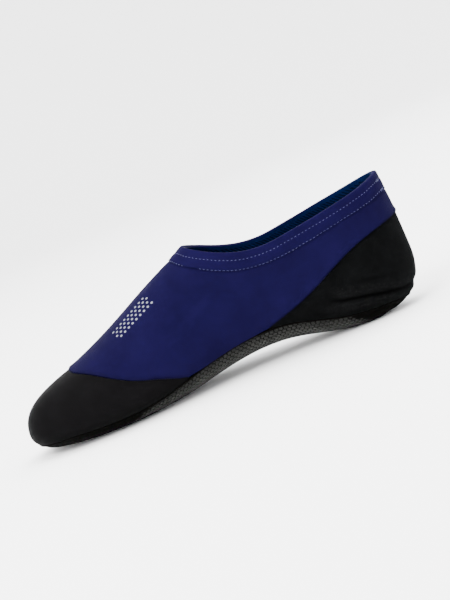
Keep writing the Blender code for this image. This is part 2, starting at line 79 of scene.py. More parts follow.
class ShoeSizes(bpy.types.PropertyGroup):
    thread_pitch: length("Stitch pitch", "From one collar stitch to the next", 2.45 * MM)
    thread_length: length("Stitch length", "Thread that shows in each stitch", 1.5 * MM)
    thread_width: length("Thread width", "Width of a collar stitch", 0.42 * MM)
    upper_row: length("Upper stitch row", "Distance of the first row below the rim", 4.5 * MM)
    lower_row: length("Lower stitch row", "Distance of the second row below the rim", 10.6 * MM)
    inner_leg: length("Inner leg", "Height of the teal leg inside the rim", 4.0 * MM)
    seam_lip: length("Seam lip", "How far the blue edge stands proud of the black panels", 0.5 * MM)
    bead_width: length("Bead width", "Bead of rubber round the sole's upper edge", 1.1 * MM)
    heel_crease: length("Heel crease", "Depth of the fold round the heel", 1.0 * MM)
    hexagon_pitch: length("Tread pitch", "From one tread hexagon to the next", 3.0 * MM)
    hexagon_gap: length("Tread gap", "Groove between two hexagons", 0.62 * MM)
    hexagon_rise: length("Tread depth", "Depth of the grooves", 0.5 * MM)
    dot_pitch: length("Dot pitch", "From one printed dot to the next", 3.4 * MM)
    dot_width: length("Dot width", "Width of one printed dot", 1.7 * MM)


class ShoeColours(bpy.types.PropertyGroup):
    blue: colour("Blue", "Blue face of the upper", (0.00235, 0.00152, 0.0128))
    band: colour("Band", "Blue of the collar band", (0.00245, 0.00155, 0.0136))
    thread: colour("Thread", "Thread of the collar stitches", (0.0085, 0.0090, 0.042))
    band_inside: colour("Band inside", "Teal of the band's inner leg", (0.0007, 0.0038, 0.0210))
    lining: colour("Lining", "Ribbed lining", (0.0007, 0.0028, 0.0135))
    toe: colour("Toe", "Smooth skin of the toe cap", (0.00135, 0.00131, 0.00142))
    heel: colour("Heel", "Napped jersey of the heel cup", (0.00105, 0.00117, 0.00120))
    rubber: colour("Rubber", "Ground of the sole", (0.00070, 0.00062, 0.00052))
    hexagons: colour("Hexagons", "Raised hexagons of the tread", (0.0055, 0.0056, 0.0052))
    # Painted light: hexagons under the foot are painted this paler colour
    worn: colour("Lit hexagons", "Hexagons under the foot, painted paler as if lit", (0.0270, 0.0275, 0.0255))
    sole_thread: colour("Sole thread", "Thread round the heel", (0.0042, 0.0042, 0.0040))
    insole: colour("Insole", "Cover of the insole", (0.0025, 0.0045, 0.011))
    dots: colour("Dots", "Printed dots on the instep", (0.10, 0.105, 0.13))


# Working on a mesh


def pick(*pieces):
    """Selects these pieces and nothing else, with the last one active."""
    bpy.ops.object.select_all(action="DESELECT")
    for piece in pieces:
        piece.select_set(True)
    bpy.context.view_layer.objects.active = pieces[-1]


class editing:
    """Edit mode on one piece, with the given kind of selection and nothing selected."""

    def __init__(self, piece, kind="FACE"):
        self.piece, self.kind = piece, kind

    def __enter__(self):
        pick(self.piece)
        bpy.ops.object.mode_set(mode="EDIT")
        bpy.ops.mesh.select_mode(type=self.kind)
        bpy.ops.mesh.select_all(action="DESELECT")

    def __exit__(self, *_):
        bpy.ops.object.mode_set(mode="OBJECT")


def finish_with(piece, kind, **settings):
    """Adds one modifier and applies it."""
    pick(piece)
    modifier = piece.modifiers.new(kind.title(), kind)
    for name, value in settings.items():
        setattr(modifier, name, value)
    bpy.ops.object.modifier_apply(modifier=modifier.name)


def points_of(piece):
    values = np.zeros(len(piece.data.vertices) * 3)
    piece.data.vertices.foreach_get("co", values)
    return values.reshape(-1, 3)


def normals_of(piece):
    values = np.zeros(len(piece.data.vertices) * 3)
    piece.data.vertex_normals.foreach_get("vector", values)
    return values.reshape(-1, 3)


def move_points(piece, points):
    piece.data.vertices.foreach_set("co", np.asarray(points, float).ravel())
    piece.data.update()


def surface_of(piece):
    """A tree that finds the nearest or the struck place on a piece."""
    return BVHTree.FromPolygons(
        [v.co.copy() for v in piece.data.vertices], [list(p.vertices) for p in piece.data.polygons]
    )


def nearest_of(points):
    """A tree that finds the nearest of these points."""
    tree = KDTree(len(points))
    for i, point in enumerate(points):
        tree.insert(point, i)
    tree.balance()
    return tree


def gaps_to(tree, points):
    """How far each point is from the nearest one in the tree."""
    return np.array([tree.find(p)[2] for p in points])


def merged_copy(node, name):
    """A copy of a CAD node with its loose triangles joined."""
    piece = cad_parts[node].copy()
    piece.data = piece.data.copy()
    piece.name = piece.data.name = name
    piece.parent = None
    piece.matrix_world = Matrix.Identity(4)
    bpy.context.scene.collection.objects.link(piece)
    with editing(piece, "EDGE"):
        bpy.ops.mesh.select_all(action="SELECT")
        bpy.ops.mesh.remove_doubles(threshold=0.01 * MM)
        bpy.ops.mesh.customdata_custom_splitnormals_clear()
    return piece


def skin_of(node, rounds):
    """A copy of a CAD node with its triangles paired, its rims kept sharp and the rest rounded."""
    piece = merged_copy(node, node + "_skin")
    with editing(piece, "EDGE"):
        bpy.ops.mesh.select_all(action="SELECT")
        bpy.ops.mesh.tris_convert_to_quads(
            face_threshold=math.radians(35), shape_threshold=math.radians(80)
        )
        bpy.ops.mesh.select_all(action="DESELECT")
        bpy.ops.mesh.edges_select_sharp(sharpness=math.radians(50))
        bpy.ops.transform.edge_crease(value=0.9)
    finish_with(piece, "SUBSURF", levels=rounds, render_levels=rounds)
    pick(piece)
    bpy.ops.object.shade_smooth_by_angle(angle=math.radians(50))
    return piece


def faces_inward(places, normals):
    """Which places look towards the inside of the foot."""
    # Spokes lead out from a level line along the foot, and fan out past its two ends.
    line_height, line_end, fan = 36 * MM, 70 * MM, 2
    spokes = (places - np.array([0, 0, line_height])) * np.array([0, 1, 1])
    past = np.clip(np.abs(places[:, 0]) - line_end, 0, None) * np.sign(places[:, 0])
    spokes[:, 0] = past * fan
    return (spokes * normals).sum(axis=1) < 0


def paint(piece, finishes, choose=None):
    """Gives a piece its materials. choose says, for places and normals, which material a face takes."""
    piece.data.materials.clear()
    for material in finishes:
        piece.data.materials.append(material)
    faces = piece.data.polygons
    picked = np.zeros(len(faces), int)
    if choose is not None:
        centres, normals = np.zeros(len(faces) * 3), np.zeros(len(faces) * 3)
        faces.foreach_get("center", centres)
        faces.foreach_get("normal", normals)
        picked = np.asarray(choose(centres.reshape(-1, 3), normals.reshape(-1, 3)), int)
    faces.foreach_set("material_index", picked.astype(np.int32))
    piece.data.update()


def keep_values(piece, name, values):
    """Stores one number for each point, for the materials to read."""
    layer = piece.data.attributes.new(name, "FLOAT", "POINT")
    layer.data.foreach_set("value", np.asarray(values, np.float32))


def lay_copies(master, spots, name):
    """One mesh of copies of the master, whose points are given for every copy."""
    faces = [list(p.vertices) for p in master.data.polygons]
    each = len(master.data.vertices)
    mesh = bpy.data.meshes.new(name)
    every_face = [[i * each + v for v in face] for i in range(len(spots)) for face in faces]
    mesh.from_pydata(np.concatenate(spots).tolist(), [], every_face)
    mesh.validate()
    piece = bpy.data.objects.new(name, mesh)
    bpy.context.scene.collection.objects.link(piece)
    bpy.data.objects.remove(master)
    return piece


def laid(local, hit, normal, way):
    """A master's points at a place on a surface, with its X turned along the way."""
    up = np.array(normal)
    along = way - up * way.dot(up)
    along /= np.linalg.norm(along)
    return np.array(hit) + local @ np.array([along, np.cross(up, along), up])


def raised_master(sides, radius, rises, taper):
    """A flat-topped master on the XY plane, raised in steps, with its top drawn in."""
    bpy.ops.object.select_all(action="DESELECT")
    bpy.ops.mesh.primitive_circle_add(vertices=sides, radius=radius, fill_type="NGON")
    master = bpy.context.object
    with editing(master, "FACE"):
        bpy.ops.mesh.select_all(action="SELECT")
        for rise in rises:
            bpy.ops.mesh.extrude_region_move(TRANSFORM_OT_translate={"value": (0, 0, rise)})
        bpy.ops.transform.resize(value=(taper, taper, 1))
        bpy.ops.mesh.select_all(action="SELECT")
        bpy.ops.mesh.normals_make_consistent(inside=False)
    return master


def smooth_step(value, low, high):
    """0 below low, 1 above high and a soft rise between them."""
    t = np.clip((value - low) / (high - low), 0, 1)
    return t * t * (3 - 2 * t)


def bell(off, width):
    """1 at no distance off, and next to nothing at twice the width."""
    return np.exp(-((off / width) ** 2))


def hand_in(piece, instead_of=None):
    """Ties a finished piece to the frame, in the place of a node where one is named."""
    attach(piece, "root")
    if instead_of:
        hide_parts(instead_of)


def hand_in_trim(piece, cover, sharp=None):
    """Paints and smooths a piece of trim and ties it to the frame. Edges past the sharp angle stay."""
    paint(piece, [finish(cover)])
    pick(piece)
    if sharp is None:
        bpy.ops.object.shade_smooth()
    else:
        bpy.ops.object.shade_smooth_by_angle(angle=math.radians(sharp))
    hand_in(piece)


# Materials

VECTOR, FLOAT, COLOUR = "NodeSocketVector", "NodeSocketFloat", "NodeSocketColor"

# Pale dust, fibres and lint on the black panels, and the painted shade of a crease
DUST, FIBRES, LINT = (0.0090, 0.0090, 0.0092), (0.0100, 0.0104, 0.0106), (0.0190, 0.0195, 0.0192)
CREASE_SHADE = (0.00012, 0.00012, 0.00012)


def add(tree, kind, inputs=(), **settings):
    """Adds a shader node. inputs is {socket: a value, or another node's output}."""
    node = tree.nodes.new("ShaderNode" + kind)
    for name, value in settings.items():
        setattr(node, name, value)
    for socket, value in dict(inputs).items():
        if isinstance(value, bpy.types.NodeSocket):
            tree.links.new(value, node.inputs[socket])
        else:
            node.inputs[socket].default_value = value
    return node


def math_node(tree, work, *values):
    return add(tree, "Math", dict(enumerate(values)), operation=work).outputs[0]


def mix(tree, share, first, second, **settings):
    """Two colours mixed, with this share of the second."""
    inputs = {"Fac": share, "Color1": first, "Color2": second}
    return add(tree, "MixRGB", inputs, **settings).outputs[0]


def stretch(tree, value, low, high):
    """The value with low to high stretched to 0 to 1, and held there."""
    return add(tree, "MapRange", {"Value": value, "From Min": low, "From Max": high}).outputs[0]


def start_group(name, inputs, outputs):
    """A new node group with its sockets, what it is given, and its output node."""
    group = bpy.data.node_groups.new(name, "ShaderNodeTree")
    for label, kind, default in inputs:
        socket = group.interface.new_socket(label, in_out="INPUT", socket_type=kind)
        if default is not None:
            socket.default_value = default
    for label, kind in outputs:
        group.interface.new_socket(label, in_out="OUTPUT", socket_type=kind)
    return group, group.nodes.new("NodeGroupInput").outputs, group.nodes.new("NodeGroupOutput")


def knit_group():
    """Rows of fine loops, in millimetres of the piece."""
    group, given, result = start_group(
        "Knit loops",
        [("Place", VECTOR, None), ("Loop size", FLOAT, 0.6), ("Looseness", FLOAT, 0.3)],
        [("Height", FLOAT), ("Shade", FLOAT)],
    )

    def humps(value):
        wave = math_node(group, "SINE", math_node(group, "MULTIPLY", value, math.pi))
        return math_node(group, "ABSOLUTE", wave)

    drift = add(group, "TexNoise", {"Vector": given["Place"], "Scale": 0.35, "Detail": 2.0})
    loose = add(
        group, "VectorMath", {0: drift.outputs["Color"], "Scale": given["Looseness"]}, operation="SCALE"
    )
    moved = add(group, "VectorMath", {0: given["Place"], 1: loose.outputs[0]}, operation="ADD")
    parts = add(group, "SeparateXYZ", {0: moved.outputs[0]}).outputs
    across = math_node(group, "MULTIPLY_ADD", parts["Y"], 0.8, parts["X"])
    wave = humps(math_node(group, "DIVIDE", across, given["Loop size"]))
    row = math_node(group, "DIVIDE", parts["Z"], given["Loop size"])
    loops = humps(math_node(group, "MULTIPLY_ADD", wave, 0.45, row))
    height = math_node(group, "MULTIPLY", wave, math_node(group, "MULTIPLY_ADD", loops, 0.5, 0.5))
    group.links.new(height, result.inputs["Height"])
    group.links.new(math_node(group, "MULTIPLY_ADD", height, 0.35, 0.75), result.inputs["Shade"])
    return group


def nap_group():
    """Brushed fibres: fine specks that lie in tufts."""
    group, given, result = start_group(
        "Brushed nap",
        [("Place", VECTOR, None), ("Fibre size", FLOAT, 0.4), ("Tuft size", FLOAT, 5.0)],
        [("Height", FLOAT), ("Fuzz", FLOAT)],
    )
    fine, coarse = (math_node(group, "DIVIDE", 1.0, given[size]) for size in ("Fibre size", "Tuft size"))
    fibres = add(
        group, "TexNoise", {"Vector": given["Place"], "Scale": fine, "Detail": 3.0, "Roughness": 0.7}
    ).outputs["Fac"]
    tufts = add(
        group, "TexNoise", {"Vector": given["Place"], "Scale": coarse, "Detail": 2.0, "Distortion": 0.6}
    ).outputs["Fac"]
    patch = stretch(group, tufts, 0.38, 0.66)
    fuzz = math_node(group, "MULTIPLY", stretch(group, fibres, 0.52, 0.72), patch)
    group.links.new(math_node(group, "MULTIPLY_ADD", patch, 0.35, fibres), result.inputs["Height"])
    group.links.new(fuzz, result.inputs["Fuzz"])
    return group


def tone_group():
    """Slow changes of tone where cloth or rubber was handled."""
    group, given, result = start_group(
        "Handled tone",
        [
            ("Place", VECTOR, None),
            ("Clean", COLOUR, None),
            ("Handled", COLOUR, None),
            ("Patch size", FLOAT, 20.0),
            ("Amount", FLOAT, 0.5),
        ],
        [("Colour", COLOUR), ("Mask", FLOAT)],
    )
    scale = math_node(group, "DIVIDE", 1.0, given["Patch size"])
    slow = add(
        group, "TexNoise", {"Vector": given["Place"], "Scale": scale, "Detail": 4.0, "Roughness": 0.6}
    )
    spread = stretch(group, slow.outputs["Fac"], 0.36, 0.68)
    mask = math_node(group, "MULTIPLY", spread, given["Amount"])
    group.links.new(mix(group, mask, given["Clean"], given["Handled"]), result.inputs["Colour"])
    group.links.new(mask, result.inputs["Mask"])
    return group


GROUPS = {"Knit loops": knit_group, "Brushed nap": nap_group, "Handled tone": tone_group}


def add_group(tree, name, **values):
    """Places a node group in a tree, with each value or link on the socket of its name."""
    node = tree.nodes.new("ShaderNodeGroup")
    node.node_tree = bpy.data.node_groups.get(name) or GROUPS[name]()
    for label, value in values.items():
        socket = node.inputs[label.replace("_", " ")]
        if isinstance(value, bpy.types.NodeSocket):
            tree.links.new(value, socket)
        else:
            socket.default_value = value
    return node.outputs


def start_material(name, **constants):
    """A material with one Principled shader and its place in millimetres."""
    material = bpy.data.materials.new(name)
    material.use_nodes = True
    tree = material.node_tree
    shader = tree.nodes["Principled BSDF"]
    for label, value in constants.items():
        shader.inputs[label.replace("_", " ")].default_value = value
    spot = add(tree, "TexCoord")
    place = add(tree, "Mapping", {"Vector": spot.outputs["Object"], "Scale": (1000, 1000, 1000)})
    return material, tree, shader, place.outputs[0]


def wide(rgb):
    return (*rgb, 1.0)


def lighter(rgb, times, lift=0.0):
    """The colour times a number and then lifted, as a socket takes it."""
    return (*[min(1.0, c * times + lift) for c in rgb], 1.0)


def bump(tree, shader, height, strength, depth, under=None):
    """Feeds the shader's normal with relief of a real depth."""
    inputs = {"Height": height, "Strength": strength, "Distance": depth}
    if under is not None:
        inputs["Normal"] = under
    node = add(tree, "Bump", inputs)
    tree.links.new(node.outputs[0], shader.inputs["Normal"])
    return node.outputs[0]


def nap(tree, place, fibre, tuft):
    """Nap whose fibres and tufts have these sizes in millimetres."""
    return add_group(tree, "Brushed nap", Place=place, Fibre_size=fibre, Tuft_size=tuft)


def handled(tree, place, rgb, lift, patch, amount):
    """A colour with paler patches, of this size in millimetres, where it was handled."""
    return add_group(
        tree,
        "Handled tone",
        Place=place,
        Clean=wide(rgb),
        Handled=lighter(rgb, lift),
        Patch_size=patch,
        Amount=amount,
    )


def stored(tree, name):
    """The number that a piece keeps at its points under this name."""
    return add(tree, "Attribute", attribute_name=name).outputs["Fac"]


def colour_and_roughness(tree, shader, shown, mask=None, low=0.0, high=1.0):
    """Feeds the shader's colour, and its roughness from low to high as the mask grows."""
    tree.links.new(shown, shader.inputs["Base Color"])
    if mask is not None:
        rough = add(tree, "MapRange", {"Value": mask, "To Min": low, "To Max": high})
        tree.links.new(rough.outputs[0], shader.inputs["Roughness"])


def knit_finish(name, rgb, loop, relief, roughness, sheen, gloss):
    """Stretch fabric: fine loops, a trace of nap, a soft sheen, and painted shade in a line along its seams.
    """
    material, tree, shader, place = start_material(
        name,
        Sheen_Weight=sheen,
        Sheen_Roughness=0.45,
        Sheen_Tint=lighter(rgb, 4.0, 0.25),
        Specular_IOR_Level=gloss,
    )
    knit = add_group(tree, "Knit loops", Place=place, Loop_size=loop, Looseness=0.35)
    fuzz = nap(tree, place, 0.5, 9.0)
    tone = handled(tree, place, rgb, 1.45, 24.0, 0.6)
    shaded = mix(tree, 1.0, tone["Colour"], knit["Shade"], blend_type="MULTIPLY")
    trace = math_node(tree, "MULTIPLY", fuzz["Fuzz"], 0.25)
    napped = mix(tree, trace, shaded, lighter(rgb, 2.2, 0.001))
    # Painted shade: the fabric darkened in a thin line where it meets the next panel
    seam_shaded = mix(tree, stored(tree, "Seam"), napped, lighter(rgb, 0.12))
    colour_and_roughness(tree, shader, seam_shaded, tone["Mask"], roughness, roughness - 0.08)
    first = bump(tree, shader, knit["Height"], 0.6, relief)
    bump(tree, shader, fuzz["Height"], 0.35, 0.12 * MM, first)
    return material


def rib_lining(name, rgb):
    """Lining of slanting ribs, 2.4 millimetres apart along the shoe."""
    material, tree, shader, place = start_material(
        name, Sheen_Weight=0.004, Sheen_Roughness=0.5, Specular_IOR_Level=0.005, Roughness=0.8
    )
    pitch = 2.4
    parts = add(tree, "SeparateXYZ", {0: place}).outputs
    level = math_node(tree, "MULTIPLY_ADD", parts["Y"], 0.6, parts["X"])
    slant = math_node(tree, "MULTIPLY_ADD", parts["Z"], 1.1, level)
    ribs = math_node(tree, "SINE", math_node(tree, "MULTIPLY", slant, 2 * math.pi / pitch))
    raised = stretch(tree, ribs, -0.6, 0.8)
    knit = add_group(tree, "Knit loops", Place=place, Loop_size=0.7, Looseness=0.5)
    ribbed = mix(tree, raised, lighter(rgb, 0.55), lighter(rgb, 1.45))
    colour_and_roughness(tree, shader, mix(tree, 1.0, ribbed, knit["Shade"], blend_type="MULTIPLY"))
    first = bump(tree, shader, raised, 0.6, 0.35 * MM)
    bump(tree, shader, knit["Height"], 0.5, 0.1 * MM, first)
    return material


def toe_skin(name, rgb):
    """Smooth neoprene skin: satin, with a fine pebble, slow scuffs and dust on its rolls."""
    material, tree, shader, place = start_material(
        name, Specular_IOR_Level=0.008, Sheen_Weight=0.002, Sheen_Roughness=0.5
    )
    tone = handled(tree, place, rgb, 1.6, 14.0, 0.55)
    pebble = add(tree, "TexVoronoi", {"Vector": place, "Scale": 2.2}, feature="SMOOTH_F1")
    settled = math_node(tree, "MULTIPLY_ADD", stored(tree, "Rolls"), 0.4, 0.12)
    dust = math_node(tree, "MULTIPLY", nap(tree, place, 0.6, 16.0)["Fuzz"], settled)
    dusted = mix(tree, dust, tone["Colour"], wide(DUST))
    colour_and_roughness(tree, shader, dusted, tone["Mask"], 0.58, 0.68)
    bump(tree, shader, pebble.outputs["Distance"], 0.35, 0.06 * MM)
    return material


def heel_jersey(name, rgb):
    """Brushed jersey with a fuzz of pale fibres, lint on its rolls and painted shade in its creases."""
    material, tree, shader, place = start_material(
        name,
        Sheen_Weight=0.012,
        Sheen_Roughness=0.35,
        Sheen_Tint=(0.8, 0.85, 0.9, 1),
        Specular_IOR_Level=0.005,
        Roughness=0.9,
    )
    fuzz, lint = nap(tree, place, 0.45, 7.0), nap(tree, place, 0.5, 1.3)
    settled = math_node(tree, "MULTIPLY", stored(tree, "Rolls"), 0.8)
    layers = (
        (math_node(tree, "MULTIPLY", fuzz["Fuzz"], 0.4), FIBRES),
        (math_node(tree, "MULTIPLY", lint["Fuzz"], settled), LINT),
        # Painted shade: the jersey darkened almost to black along each crease
        (math_node(tree, "MULTIPLY", stored(tree, "Creases"), 0.9), CREASE_SHADE),
    )
    shown = handled(tree, place, rgb, 1.7, 12.0, 0.7)["Colour"]
    for share, over in layers:
        shown = mix(tree, share, shown, wide(over))
    colour_and_roughness(tree, shader, shown)
    bump(tree, shader, fuzz["Height"], 0.7, 0.3 * MM)
    return material


def rubber_finish(name, rgb, roughness, gloss, lift, paints_light=False):
    """Moulded rubber with a faint bloom. Where asked, painted light makes it paler, as the piece's share
    says.
    """
    material, tree, shader, place = start_material(name, Specular_IOR_Level=gloss)
    tone = handled(tree, place, rgb, lift, 10.0, 0.8)
    shown = tone["Colour"]
    if paints_light:
        clean = math_node(tree, "SUBTRACT", 1.0, tone["Mask"])
        # Painted light: paler hexagons where the piece's stored share says
        share = math_node(tree, "MULTIPLY", stored(tree, "Worn"), clean)
        shown = mix(tree, share, shown, wide(bpy.context.scene.shoe_colours.worn))
    colour_and_roughness(tree, shader, shown, tone["Mask"], roughness, roughness + 0.1)
    grain = add(tree, "TexNoise", {"Vector": place, "Scale": 1.6, "Detail": 3.0})
    bump(tree, shader, grain.outputs["Fac"], 0.3, 0.05 * MM)
    return material


def grained_finish(name, rgb, roughness, gloss, sheen, scale, strength, relief):
    """One colour with a fine grain, for thread and print."""
    material, tree, shader, place = start_material(
        name, Roughness=roughness, Specular_IOR_Level=gloss, Sheen_Weight=sheen, Base_Color=wide(rgb)
    )
    grain = add(tree, "TexNoise", {"Vector": place, "Scale": scale, "Detail": 2.0})
    bump(tree, shader, grain.outputs["Fac"], strength, relief)
    return material


# Each finish: the function that makes it, its colour and its other numbers. Loops are in
# millimetres, relief in metres.
FINISHES = {
    "Blue fabric": (
        knit_finish, "blue", dict(loop=0.55, relief=0.08 * MM, roughness=0.68, sheen=0.012, gloss=0.005)
    ),
    "Band fabric": (
        knit_finish, "band", dict(loop=0.45, relief=0.06 * MM, roughness=0.65, sheen=0.012, gloss=0.004)
    ),
    "Band inside fabric": (
        knit_finish, "band_inside", dict(loop=0.45, relief=0.06 * MM, roughness=0.7, sheen=0.01, gloss=0.006)
    ),
    "Insole cover": (
        knit_finish, "insole", dict(loop=0.9, relief=0.12 * MM, roughness=0.75, sheen=0.05, gloss=0.025)
    ),
    "Rib lining": (rib_lining, "lining", {}),
    "Toe skin": (toe_skin, "toe", {}),
    "Heel jersey": (heel_jersey, "heel", {}),
    "Sole rubber": (rubber_finish, "rubber", dict(roughness=0.65, gloss=0.012, lift=1.8)),
    "Tread rubber": (rubber_finish, "hexagons", dict(roughness=0.55, gloss=0.06, lift=1.5, paints_light=True)),
    "Sole thread": (rubber_finish, "sole_thread", dict(roughness=0.6, gloss=0.06, lift=1.5)),
    "Thread": (
        grained_finish,
        "thread",
        dict(roughness=0.5, gloss=0.15, sheen=0.08, scale=4.0, strength=0.4, relief=0.05 * MM),
    ),
    "Dot print": (
        grained_finish,
        "dots",
        dict(roughness=0.55, gloss=0.25, sheen=0.0, scale=2.5, strength=0.3, relief=0.04 * MM),
    ),
}


def finish(name):
    """A material by its name, made when it is first asked for."""
    made = bpy.data.materials.get(name)
    if made is None:
        make, hue, numbers = FINISHES[name]
        made = make(name, getattr(bpy.context.scene.shoe_colours, hue), **numbers)
    return made


# The sole's own measure


class SoleMap:
    """Places on the sole's outer face, by distance along it and by distance round it from its middle."""

    STEP = 1.0 * MM
    REACH = 75 * MM
    # What is left off at the sole's two tips, and the half length over which its middle is found
    TIP, SPAN = 1.5 * MM, 9 * MM
    # A section's spokes: how high above the sole they start, their step and last turn in degrees,
    # and how squarely they have to meet the face
    HUB, TURN, LAST_TURN, SQUARE = 6 * MM, 1.5, 168, 0.25
    # The tread's ends in the middle of the sole, how far they draw in at its edges, and their fades
    FRONT, FRONT_DRAW, FRONT_FADE = -112 * MM, 58 * MM, 9 * MM
    BACK, BACK_DRAW, BACK_FADE = 99 * MM, 20 * MM, 8 * MM

    def __init__(self):
        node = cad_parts["sole"]
        tree = surface_of(node)
        low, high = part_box("sole")
        points = points_of(node)
        self.along = np.arange(low.x + self.TIP, high.x - self.TIP, self.STEP)
        bins = [points[np.abs(points[:, 0] - x) < self.SPAN][:, 1] for x in self.along]
        middle = np.array([(b.min() + b.max()) / 2 for b in bins])
        middle = np.polyval(np.polyfit(self.along, middle, 5), self.along)
        self.across = np.arange(-self.REACH, self.REACH + self.STEP / 2, self.STEP)
        rows, ends = [], []
        for x, y in zip(self.along, middle):
            places, girth = self.section(tree, float(x), float(y))
            rows.append(np.stack([np.interp(self.across, girth, places[:, i]) for i in range(3)], axis=1))
            ends.append((girth[0], girth[-1]))
        self.grid = np.array(rows)
        self.ends = np.array(ends)
        average = 7
        for side in range(2):
            padded = np.pad(self.ends[:, side], average // 2, mode="edge")
            self.ends[:, side] = np.convolve(padded, np.ones(average) / average, mode="valid")

    def section(self, tree, x, y):
        """The outer face cut across at x, from the outer edge on one side to that on the other."""
        below = tree.ray_cast(Vector((x, y, -50 * MM)), Vector((0, 0, 1)))[0]
        centre = Vector((x, y, below.z + self.HUB))
        halves = []
        for way in (-1, 1):
            half = []
            for turn in np.radians(np.arange(0, self.LAST_TURN, self.TURN)):
                spoke = Vector((0, way * math.sin(turn), -math.cos(turn)))
                hit, normal, _, _ = tree.ray_cast(centre + spoke * 120 * MM, -spoke)
                if hit is None or (hit - centre).dot(spoke) < 0 or normal.dot(spoke) < self.SQUARE:
                    break
                half.append(hit)
            halves.append(half)
        line = np.array([list(p) for p in halves[0][:0:-1] + halves[1]])
        girth = np.concatenate([[0], np.cumsum(np.linalg.norm(np.diff(line, axis=0), axis=1))])
        return line, girth - girth[len(halves[0]) - 1]

    def ends_at(self, x):
        """The sole's two edges at x, as distances round it."""
        return np.interp(x, self.along, self.ends[:, 0]), np.interp(x, self.along, self.ends[:, 1])

    def place(self, x, s):
        """Points of the outer face, for arrays of distances along and round it."""
        i = np.clip((x - self.along[0]) / self.STEP, 0, len(self.along) - 1.001)
        j = np.clip((s - self.across[0]) / self.STEP, 0, len(self.across) - 1.001)
        a, b = i.astype(int), j.astype(int)
        u, v = (i - a)[..., None], (j - b)[..., None]
        near = self.grid[a, b] * (1 - v) + self.grid[a, b + 1] * v
        far = self.grid[a + 1, b] * (1 - v) + self.grid[a + 1, b + 1] * v
        return near * (1 - u) + far * u

    def outward(self, x, s):
        """The outer face's normals at the same places."""
        step = 0.8 * MM
        ahead = self.place(x + step, s) - self.place(x - step, s)
        round_it = self.place(x, s + step) - self.place(x, s - step)
        normal = np.cross(round_it, ahead)
        return normal / np.maximum(np.linalg.norm(normal, axis=-1, keepdims=True), 1e-12)

    def tread_share(self, x, s):
        """1 inside the tread, 0 on the smooth rubber at the toe, the heel and the edge."""
        near, far = self.ends_at(x)
        reach = np.clip(np.where(s < 0, s / np.minimum(near, -MM), s / np.maximum(far, MM)), 0, 1)
        front = self.FRONT + self.FRONT_DRAW * reach**1.2
        back = self.BACK - self.BACK_DRAW * reach**2
        ends = smooth_step(x, front, front + self.FRONT_FADE)
        ends *= 1 - smooth_step(x, back - self.BACK_FADE, back)
        edge = np.minimum(s - near, far - s)
        return ends * smooth_step(edge, 0.4 * MM, 1.4 * MM)


# Measures that are taken once and shared by the pieces
_measures = {}


def sole_map():
    if "sole" not in _measures:
        _measures["sole"] = SoleMap()
    return _measures["sole"]


# The collar's own measure


class CollarLines:
    """The collar's rim and the lines at a distance below it on the band's outer face."""

    # How many profiles are taken round the collar, and the pitches down them and along the rim
    STATIONS, PROFILE_PITCH, RIM_PITCH = 240, 0.3 * MM, 0.5 * MM

    def __init__(self, band):
        tree = surface_of(band)
        low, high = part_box("collar_band")
        centre = Vector(((low.x + high.x) / 2, (low.y + high.y) / 2, 0))
        self.profiles = []
        for turn in np.linspace(0, 2 * math.pi, self.STATIONS, endpoint=False):
            spoke = Vector((math.cos(turn), math.sin(turn), 0))
            profile = []
            for z in np.arange(high.z + MM, low.z, -self.PROFILE_PITCH):
                start = centre + spoke * 200 * MM + Vector((0, 0, z))
                hit, _, _, _ = tree.ray_cast(start, -spoke)
                if hit is not None and (hit - centre).dot(spoke) > 0:
                    profile.append(list(hit))
                elif profile:
                    break
            self.profiles.append(np.array(profile))
        rim = np.array([profile[0] for profile in self.profiles])
        self.near = nearest_of(self.resample(rim, self.RIM_PITCH))

    @staticmethod
    def resample(line, pitch):
        """Evenly spaced points round a closed line."""
        closed = np.vstack([line, line[:1]])
        girth = np.concatenate([[0], np.cumsum(np.linalg.norm(np.diff(closed, axis=0), axis=1))])
        count = max(8, round(girth[-1] / pitch))
        at = np.linspace(0, girth[-1], count, endpoint=False)
        return np.stack([np.interp(at, girth, closed[:, i]) for i in range(3)], axis=1)

    def below(self, distance):
        """The closed line on the band at this distance from the rim."""
        line = []
        for profile in self.profiles:
            gaps = np.maximum.accumulate(gaps_to(self.near, profile))
            line.append([np.interp(distance, gaps, profile[:, i]) for i in range(3)])
        line = np.array(line)
        for _ in range(2):
            line = (np.roll(line, 1, 0) + 2 * line + np.roll(line, -1, 0)) / 4
        return line


def stitch_master(sizes):
    """One stitch: a short rounded thread along X whose ends dip into the cloth."""
    bpy.ops.object.select_all(action="DESELECT")
    bpy.ops.mesh.primitive_uv_sphere_add(segments=8, ring_count=6, radius=1)
    master = bpy.context.object
    with editing(master, "VERT"):
        bpy.ops.mesh.select_all(action="SELECT")
        bpy.ops.transform.rotate(value=math.radians(90), orient_axis="Y", center_override=(0, 0, 0))
        bpy.ops.transform.resize(
            value=(sizes.thread_length / 2, sizes.thread_width / 2, sizes.thread_width / 2.4)
        )
    points = points_of(master)
    half = sizes.thread_length / 2
    points[:, 2] += sizes.thread_width * (0.12 - 0.42 * (points[:, 0] / half) ** 2)
    move_points(master, points)
    return master


def sew(master, line, tree, name, closed=True):
    """Lays a stitch at each point of a line that runs over a surface."""
    local = points_of(master)
    ahead = np.roll(line, -1, 0) - np.roll(line, 1, 0)
    if not closed:
        ahead[0], ahead[-1] = line[1] - line[0], line[-1] - line[-2]
    spots = []
    for point, way in zip(line, ahead):
        hit, normal, _, _ = tree.find_nearest(Vector(point))
        spots.append(laid(local, hit, normal, way))
    return lay_copies(master, spots, name)


# Pieces

